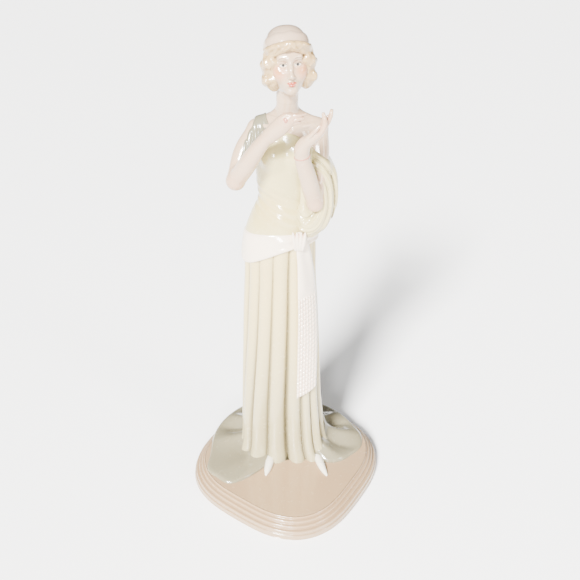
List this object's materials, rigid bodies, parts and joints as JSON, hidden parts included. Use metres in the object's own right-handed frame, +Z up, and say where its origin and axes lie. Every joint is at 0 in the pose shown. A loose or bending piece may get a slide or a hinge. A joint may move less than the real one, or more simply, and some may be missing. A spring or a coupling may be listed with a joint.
{
  "type": "porcelain figurine",
  "caption": "Glazed porcelain statuette of a standing lady in a cap, pleated evening gown, sash and stole, with raised hands, on a stepped cushion-cornered plinth.",
  "frame": {"origin": "middle of the plinth foot on the table", "axes": "+Z up along the standing figure, the figure faces -Y, +X towards her left hand"},
  "size_m": [0.129, 0.129, 0.3],
  "materials": {
    "bodice_glaze": "clear gloss glaze over pastel colour",
    "pink_glaze": "clear gloss glaze over pastel colour",
    "skin_glaze": "clear gloss glaze over pastel colour",
    "cap_glaze": "clear gloss glaze over pastel colour",
    "skirt_glaze": "clear gloss glaze over pastel colour",
    "train_glaze": "clear gloss glaze over pastel colour",
    "hair_glaze": "clear gloss glaze over pastel colour",
    "sash_glaze": "clear gloss glaze over pastel colour",
    "shoe_glaze": "clear gloss glaze over pastel colour",
    "plinth_glaze": "clear gloss glaze over pastel colour",
    "drape_glaze": "clear gloss glaze over pastel colour",
    "stole_glaze": "clear gloss glaze over pastel colour"
  },
  "bodies": {
    "root": {"bodice": "bodice_glaze", "bracelet": "pink_glaze", "bust": "skin_glaze", "cap": "cap_glaze", "cap_band": "cap_glaze", "gown_skirt": "skirt_glaze", "gown_train": "train_glaze", "hair": "hair_glaze", "head": "skin_glaze", "hip_sash": "sash_glaze", "left_forearm": "skin_glaze", "left_hand": "skin_glaze", "left_shoe": "shoe_glaze", "left_upper_arm": "skin_glaze", "plinth": "plinth_glaze", "right_forearm": "skin_glaze", "right_hand": "skin_glaze", "right_shoe": "shoe_glaze", "right_upper_arm": "skin_glaze", "ring": "pink_glaze", "sash_knot": "sash_glaze", "sash_tail": "sash_glaze", "shoulder_drape": "drape_glaze", "stole_back": "stole_glaze", "stole_loop": "stole_glaze"}
  },
  "joints": []
}
